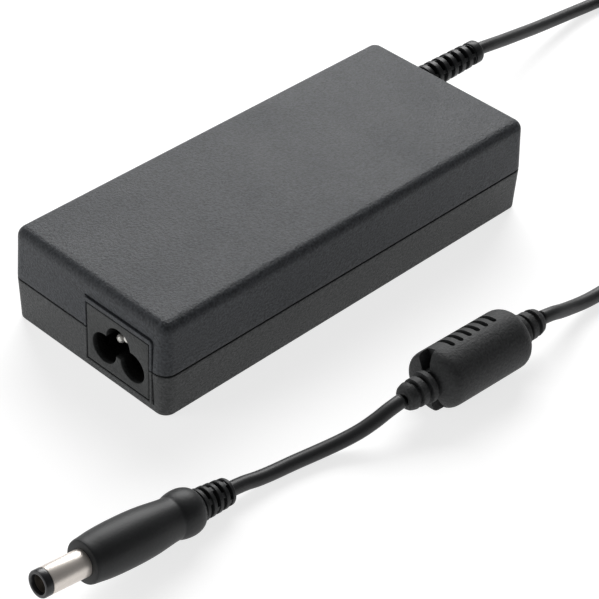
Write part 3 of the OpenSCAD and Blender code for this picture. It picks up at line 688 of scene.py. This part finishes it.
low_in = (SEAM - LOW_R) * t_low
lower = [inner_ring(0, 2.2), inner_ring(0, SEAM + 1.2), inner_ring(1.0, SEAM + 1.2),
         inner_ring(1.0, SEAM - GAP)]
lower += [case_ring(i, z) for i, z in ((0.32, SEAM - GAP), (0.15, SEAM - GAP - 0.03),
                                       (0.05, SEAM - GAP - 0.13), (0.03, SEAM - GAP - 0.3))]
lower += [case_ring(h * t_low + 0.02, SEAM - h) for h in (1.5, 4, 7, 10)]
lower.append(case_ring(low_in, LOW_R))
lower += [case_ring(i, z) for i, z in arc_profile(low_in, LOW_R, LOW_R, True)]
lower.append(case_ring(low_in + LOW_R + 1.2, 0))
lower.append(rect_ring(36.2, 19.2, 2, 0))
lower.append(rect_ring(36.2, 19.2, 2, 0.4))
make_cover("bottom_cover", lower, SEAM - GAP, False, "case_lower")

# ---------------------------------------------------------------- inlet

def clover_points(n=40):
    c = [(-PITCH, 0.0), (PITCH, 0.0), (0.0, EARTH_UP)]
    d = math.hypot(PITCH, EARTH_UP)
    h = math.sqrt(LOBE ** 2 - (d / 2) ** 2)
    notch = (PITCH / 2 + EARTH_UP / d * h, EARTH_UP / 2 + PITCH / d * h)
    a_top = math.degrees(math.atan2(notch[1] - EARTH_UP, notch[0]))
    a_side = math.degrees(math.atan2(notch[1], notch[0] - PITCH))
    pts = []
    for k in range(n):
        a = math.radians(a_top + (180 - 2 * a_top) * k / n)
        pts.append((c[2][0] + LOBE * math.cos(a), c[2][1] + LOBE * math.sin(a)))
    start = 180 - a_side
    for k in range(n + 1):
        a = math.radians(start + (360 - start) * k / n)
        pts.append((c[0][0] + LOBE * math.cos(a), c[0][1] + LOBE * math.sin(a)))
    for k in range(n):
        a = math.radians(180 + (360 - start) * k / n)
        pts.append((c[1][0] + LOBE * math.cos(a), c[1][1] + LOBE * math.sin(a)))
    return pts


def plate_mesh(outline, holes, x0, x1, edge):
    """Flat plate with holes and rounded edges, drawn in the YZ plane, from x0 to x1."""
    curve = bpy.data.curves.new("plate", "CURVE")
    curve.dimensions = "2D"
    curve.fill_mode = "BOTH"
    curve.extrude = (x1 - x0) / 2 * MM - edge * MM
    curve.bevel_depth = edge * MM
    curve.bevel_resolution = 2
    curve.offset = -edge * MM
    for loop in [outline] + holes:
        s = curve.splines.new("POLY")
        s.points.add(len(loop) - 1)
        for p, (y, z) in zip(s.points, loop):
            p.co = (y * MM, z * MM, 0, 1)
        s.use_cyclic_u = True
    o = bpy.data.objects.new("plate", curve)
    bpy.context.scene.collection.objects.link(o)
    bpy.context.view_layer.update()
    mesh = bpy.data.meshes.new_from_object(
        o.evaluated_get(bpy.context.evaluated_depsgraph_get()))
    bpy.data.objects.remove(o)
    turn = Matrix(((0, 0, 1, (x0 + x1) / 2 * MM), (1, 0, 0, 0), (0, 1, 0, 0), (0, 0, 0, 1)))
    mesh.transform(turn)
    return mesh


def join_meshes(name, meshes):
    bm = bmesh.new()
    for m in meshes:
        bm.from_mesh(m)
    bmesh.ops.remove_doubles(bm, verts=bm.verts, dist=1e-7)
    out = bpy.data.meshes.new(name)
    bm.to_mesh(out)
    bm.free()
    return out


def round_rect(y0, y1, z0, z1, r, n=6):
    pts = []
    for cy, cz, a0 in ((y1 - r, z1 - r, 0), (y0 + r, z1 - r, 90), (y0 + r, z0 + r, 180),
                       (y1 - r, z0 + r, 270)):
        for k in range(n + 1):
            a = math.radians(a0 + 90 * k / n)
            pts.append((cy + r * math.cos(a), cz + r * math.sin(a)))
    return pts


def make_inlet():
    g = 0.24        # line round the inlet body
    y0, y1 = INLET_Y - INLET_W / 2 + g, INLET_Y + INLET_W / 2 - g
    z0, z1 = INLET_Z - INLET_H / 2 + g, INLET_Z + INLET_H / 2 - g
    outline = round_rect(y0, y1, z0, z1, 0.35)
    clover = [(SOCKET_Y + a, SOCKET_Z + b) for a, b in clover_points()]
    front = plate_mesh(outline, [clover], FACE_X + 0.06, FACE_X + SOCKET_DEEP, 0.22)
    back = plate_mesh(round_rect(y0 + 0.1, y1 - 0.1, z0 + 0.1, z1 - 0.1, 0.4), [],
                      FACE_X + SOCKET_DEEP - 0.4, FACE_X + 17, 0.2)
    flange = plate_mesh(round_rect(y0 - 1.4, y1 + 1.4, z0 - 0.5, z1 + 1.7, 0.8),
                        [clover], FACE_X + 3.1, FACE_X + 4.7, 0.2)
    mesh = join_meshes("inlet_housing", [front, back, flange])
    return finish_piece("inlet_housing", mesh, "inlet_plastic", ("inlet_housing",), 30)


make_inlet()


def dome(r, tip, n=6):
    return [(tip + r * 0.9 * (1 - math.cos(math.radians(90 * k / n))),
             r * math.sin(math.radians(90 * k / n))) for k in range(1, n + 1)]


for node, dy, dz, tip in (("line_pin", PITCH, 0, 4.5), ("neutral_pin", -PITCH, 0, 4.5),
                          ("earth_pin", 0, EARTH_UP, 2.3)):
    profile = [(0.001 + tip, 0.12)] + dome(1.2, tip) + [(15, 1.2), (15.1, 1.0), (18.4, 1.0)]
    lathe(node, profile, "contact_brass", (node,),
          axis_place((FACE_X, SOCKET_Y + dy, SOCKET_Z + dz), 0), 48, sharp=45)

# ---------------------------------------------------------------- gland

def ring_row(start, end, r0, r1, pitch, thick, bar, chamfer=0.16):
    """Ribs between start and end, and the lower bands between them."""
    prof, s = [], start
    while s + thick < end - 0.4:
        r = r0 + (r1 - r0) * (s - start) / (end - start)
        prof += [(s, r - bar), (s, r - chamfer), (s + chamfer, r), (s + thick - chamfer, r),
                 (s + thick, r - chamfer), (s + thick, r - bar)]
        s += pitch
    return prof, s


def gap_windows(start, end, pitch, thick, floor, mids, half):
    out, s = [], start
    while s + pitch < end:
        for m in mids:
            out.append((s + thick + 0.02, s + pitch - 0.02, m, half, floor))
        s += pitch
    return out


def make_gland():
    s0, pitch, thick, end_r = 2.2, 3.2, 1.7, 3.4
    ribs, s_next = ring_row(s0, GLAND_L - 3.2, 4.05, 3.42, pitch, thick, 0.4)
    profile = [(-9, 0.3), (-9, 4.6), (-5, 4.6), (-5, 4.9), (-2.7, 4.9), (-2.7, NECK_R),
               (0.6, NECK_R), (0.9, 3.95), (1.1, 3.5)] + ribs
    profile += [(GLAND_L - 3.1, end_r - 0.35), (GLAND_L - 3.1, end_r - 0.1),
                (GLAND_L - 2.9, end_r), (GLAND_L - 0.7, end_r - 0.02),
                (GLAND_L - 0.3, end_r - 0.22), (GLAND_L, end_r - 0.65), (GLAND_L, 1.7)]
    windows = gap_windows(s0, s_next + 0.1, pitch, thick, 2.2, (0, 90, 180, 270), 36)
    rings = sleeve_rings(profile, windows, 72)
    verts, faces = loft(rings)
    return piece_from("cord_gland", verts, faces, "cord_mould", ("cord_gland",), 30,
                      axis_place((BODY_L / 2, GLAND_Y, SEAM), 0, 20))


gland = make_gland()

# ---------------------------------------------------------------- ferrite bead

bead_place = axis_place(BEAD, BEAD_TURN, 0)


def tilted(u, v):
    """(y, z) of a point u along the direction of the grip slots and v across it."""
    a = math.radians(BEAD_ROLL)
    return u * math.sin(a) + v * math.cos(a), u * math.cos(a) - v * math.sin(a)


def stadium(s_mid, v0, v1, width, u0, u1, n=8):
    """Slot cutter with round ends, in the bead's own place, cut down along u."""
    h = width / 2
    turns = [math.radians(180 * k / n) for k in range(n + 1)]
    flat = [(h * math.cos(a), v1 - h + h * math.sin(a)) for a in turns]
    flat += [(-h * math.cos(a), v0 + h - h * math.sin(a)) for a in turns]
    rings = [[(s_mid + a, *tilted(u, v)) for a, v in flat] for u in (u0, u1)]
    return loft(rings)


def collar_profile(e, side):
    """Stepped relief at one end of the bead, from its tip to the bead's end face."""
    steps = [(8.6, 1.75), (8.6, 2.3), (8.45, 2.85), (8.0, 3.2), (7.2, 3.45), (6.6, 3.58),
             (6.5, 3.5), (6.5, 2.8), (5.3, 2.8), (5.3, 3.55), (5.15, 3.7), (3.55, 3.72),
             (3.4, 3.6), (3.4, 2.8), (2.4, 2.8), (2.4, 4.0), (2.25, 4.15), (1.05, 4.15),
             (0.9, 4.0), (0.9, 3.0), (0.0, 3.0)]
    return [(side * (e + s), r) for s, r in steps]


def make_bead():
    e, r = BEAD_L / 2, BEAD_R
    # the far half of the left end is a flat disc, the near half lies deeper, behind a rim
    far = [(0, 3.1), (0, 5.0), (0, 6.6), (0.1, 7.05), (0.35, 7.45), (0.8, 7.72), (1.5, 7.86),
           (2.6, r), (4.0, r), (5.2, r)]
    near = [(0, 3.1), (0.25, 4.3), (0.75, 5.5), (1.4, 6.4), (1.9, 6.95), (2.4, 7.35), (2.9, 7.62),
            (3.5, 7.8), (4.3, 7.88), (5.2, r)]
    right = [(-5.0, r), (-3.8, r - 0.01), (-3.0, r - 0.07), (-2.3, r - 0.27), (-1.6, r - 0.62),
             (-1.0, r - 1.1), (-0.5, r - 1.8), (-0.15, r - 2.7), (0, r - 3.6), (0, 3.0)]
    n = 144
    angles = [360.0 * k / n for k in range(n)]

    def ring(s_far, r_far, s_near, r_near):
        pts = []
        for a in angles:
            off = (a - BEAD_ROLL) % 360          # 0 to 180 is the far half
            w = 1.0 if off > 180 else 0.0
            edge = min(off, abs(off - 180), 360 - off)
            if edge < 7:
                k = edge / 7 * 0.5
                w = 0.5 + k if off > 180 else 0.5 - k
            s, q = s_far + (s_near - s_far) * w, r_far + (r_near - r_far) * w
            pts.append((s, q * math.sin(math.radians(a)), q * math.cos(math.radians(a))))
        return pts

    rings = [ring(s, q, s, q) for s, q in collar_profile(e, -1)]
    rings += [ring(-e + a, b, -e + c, d) for (a, b), (c, d) in zip(far, near)]
    for k in range(1, 12):
        s = -e + 5.2 + (2 * e - 10.2) * k / 12
        rings.append(ring(s, r, s, r))
    rings += [ring(e + s, q, e + s, q) for s, q in right]
    rings += [ring(s, q, s, q) for s, q in reversed(collar_profile(e, 1)[:-1])]
    body = raw_mesh("bead_body", [closed_loft(rings)], bead_place)
    cuts = []
    clear = 9.0             # outside the bead on every side
    slots, pitch, half_l, width, floor = 6, 2.84, 3.45, 1.35, 6.15
    for i in range(slots):
        s = -pitch * (slots - 1) / 2 + i * pitch
        cuts.append(stadium(s, -half_l, half_l, width, floor, clear))
        cuts.append(stadium(s, -half_l, half_l, width, -clear, -floor))
    half_w, deep, start = 1.3, 3.3, 3.35
    for u0, u1 in ((start, clear), (-clear, -start)):
        flat = [(-e - 0.6, -half_w), (-e + deep, -half_w), (-e + deep, half_w),
                (-e - 0.6, half_w)]
        cuts.append(loft([[(a, *tilted(u, v)) for a, v in flat] for u in (u0, u1)]))
    mesh = boolean_cut(body, raw_mesh("bead_cuts", cuts, bead_place))
    mesh.name = "bead_cover"
    return finish_piece("bead_cover", mesh, "bead_plastic", ("bead_cover",), 32)


bead = make_bead()

# ---------------------------------------------------------------- plug

plug_place = axis_place(TIP, PLUG_TURN, 0, PLUG_PITCH)


def make_grip():
    g = 6.0
    first, last, pitch, thick = 45.7, 54.3, 2.1, 1.05
    front = [(18.2, 3.2), (REACH, 3.3), (REACH, 4.85), (REACH + 0.08, 5.05), (REACH + 0.25, 5.18),
             (REACH + 0.6, 5.27)]
    barrel = smooth_profile([(REACH + 0.75, 5.3), (14.6, 5.48), (17, 5.76), (20.2, 5.94),
                             (23.6, g), (27.5, 5.96), (30.8, 5.78), (33.5, 5.5), (36, 5.22),
                             (37.9, 5.08)], 4)
    shoulder = smooth_profile([(38.1, 5.12), (39.2, 5.48), (40.8, 5.7), (42.4, 5.66),
                               (43.9, 5.25), (44.8, 4.6), (45.3, 3.9)], 4)
    ribs, _ = ring_row(first, last, 3.95, 3.4, pitch, thick, 0.3, 0.12)
    tail = [(54.0, 3.1), (54.0, 3.28), (54.15, 3.38), (54.8, 3.34), (55.1, 3.15),
            (RELIEF_END, 2.7), (RELIEF_END, 1.8)]
    profile = front + barrel + shoulder + ribs + tail
    windows = []
    for row in range(4):
        s = first + pitch * row
        for k in range(4):          # the windows of every other row are turned
            mid = (40 if row % 2 else -5) + 90 * k
            windows.append((s + thick + 0.02, s + pitch - 0.02, mid, 34, 2.45))
    rings = sleeve_rings(profile, windows, 90)
    verts, faces = loft(rings)
    return piece_from("plug_grip", verts, faces, "plug_mould", ("plug_grip",), 22, plug_place)


grip = make_grip()
barrel = lathe("plug_barrel", [
    (RING_L, 2.9), (RING_L + 0.02, BARREL_R - 0.07), (RING_L + 0.15, BARREL_R),
    (REACH - 0.05, BARREL_R), (REACH, 3.2), (REACH + 0.05, 3.1), (BARREL_BACK, 3.1),
    (BARREL_BACK, 2.85)],
    "plug_metal", ("plug_barrel",), plug_place, 96, closed=True)
tip_ring = lathe("plug_tip_ring", [
    (0.35, 2.25), (0.08, 2.42), (0, 2.6), (0, 2.95), (0.1, 3.14), (0.3, 3.24),
    (RING_L - 0.15, BARREL_R), (RING_L - 0.04, 3.16), (RING_L - 0.02, 2.8), (SLEEVE_BACK, 2.8),
    (SLEEVE_BACK, 2.55), (1.1, 2.55), (1.0, BORE_R)],
    "plug_black", ("plug_tip_ring",), plug_place, 96, closed=True)
contact = lathe("plug_contact", [
    (1.05, 2.5), (CONTACT_BACK, 2.5), (CONTACT_BACK, BORE_R), (1.3, BORE_R), (1.05, 2.3)],
    "plug_metal", ("plug_contact",), plug_place, 72, closed=True)
contact.data.materials[0] = M["bore_metal_painted_shade"]     # the same metal, painted dark as shade inside the bore
insulator = lathe("plug_insulator", [
    (BLOCK_START, PIN_R + 0.02), (BLOCK_START, 1.9), (BLOCK_START + 0.3, 2.12),
    (BARREL_BACK, 2.12), (BARREL_BACK, PIN_R + 0.02)],
    "insulator_plastic", ("plug_insulator",), plug_place, 64, closed=True)
centre_pin = lathe("plug_centre_pin", [
    (PIN_START, 0.05), (PIN_START + 0.02, 0.25), (PIN_START + 0.15, 0.45),
    (PIN_START + 0.4, 0.62), (PIN_START + 0.8, PIN_R), (BARREL_BACK, PIN_R), (BARREL_BACK, 0.1)],
    "plug_metal", ("plug_centre_pin",), plug_place, 40, sharp=45)

# ---------------------------------------------------------------- tie round the coil

def make_tie():
    t = math.radians(-TIE_AT)
    out = Vector((math.cos(t), math.sin(t), 0))
    along = Vector((-math.sin(t), math.cos(t), 0))
    mid = Vector((COIL_X, COIL_Y, 0)) + out * COIL_R
    path = smooth_path([(-7.9, 1.3, 0), (-7.85, 2.4, 0), (-6.6, 5.4, 0), (-4.3, 9.6, 0),
                        (-2.2, 10.75, 0), (2.2, 10.75, 0), (4.3, 9.6, 0), (6.6, 5.4, 0),
                        (7.85, 2.4, 0), (7.9, 1.3, 0), (7.0, 0.42, 0), (4, 0.40, 0),
                        (0, 0.40, 0), (-4, 0.40, 0), (-7.0, 0.42, 0)], 3)[:-1]
    rings = []
    half_w, half_t = 2.5, 0.38
    for i, p in enumerate(path):
        a, b = path[i - 1], path[(i + 1) % len(path)]
        d = (b - a).normalized()
        normal = Vector((-d.y, d.x, 0))
        ring = []
        for u, v in ((-half_w, -half_t * 0.6), (-half_w, half_t * 0.6), (-half_w + 0.2, half_t),
                     (half_w - 0.2, half_t), (half_w, half_t * 0.6), (half_w, -half_t * 0.6),
                     (half_w - 0.2, -half_t), (-half_w + 0.2, -half_t)):
            q = p + normal * v
            ring.append(tuple(mid + out * q.x + along * u + Vector((0, 0, max(q.y, 0.02)))))
        rings.append(ring)
    verts, faces = closed_loft(rings)
    return piece_from("cord_tie", verts, faces, "tie_plastic", ("cord_tie",), 40)


tie = make_tie()

# ---------------------------------------------------------------- carried CAD pieces

REPLACED = {"top_cover", "bottom_cover", "inlet_housing", "line_pin", "neutral_pin", "earth_pin",
            "cord_gland", "bead_cover", "plug_grip", "plug_barrel", "plug_tip_ring",
            "plug_contact", "plug_insulator", "plug_centre_pin", "cord_lead", "cord_coil",
            "cord_tail", "cord_tie"}
for part in frame["record"]["subparts"]:
    node = part["node"]
    if node in REPLACED:
        continue
    obj = frame["nodes"][node]
    for s in obj.material_slots:
        s.material = M[part["material_slot"]]

# ---------------------------------------------------------------- the floor


def make_floor():
    mesh = bpy.data.meshes.new("floor")
    s = 3.0
    mesh.from_pydata([(-s, -s, 0), (s, -s, 0), (s, s, 0), (-s, s, 0)], [], [(0, 1, 2, 3)])
    floor = bpy.data.objects.new("floor", mesh)
    bpy.context.scene.collection.objects.link(floor)
    floor.location.z = -0.0001
    mat, tree, bsdf = nodes_of("floor")
    bsdf.inputs["Base Color"].default_value = (0.42, 0.42, 0.42, 1)
    bsdf.inputs["Emission Color"].default_value = (1, 1, 1, 1)
    bsdf.inputs["Emission Strength"].default_value = 0.75
    bsdf.inputs["Roughness"].default_value = 0.9
    bsdf.inputs["Specular IOR Level"].default_value = 0.1
    mesh.materials.append(mat)


make_floor()
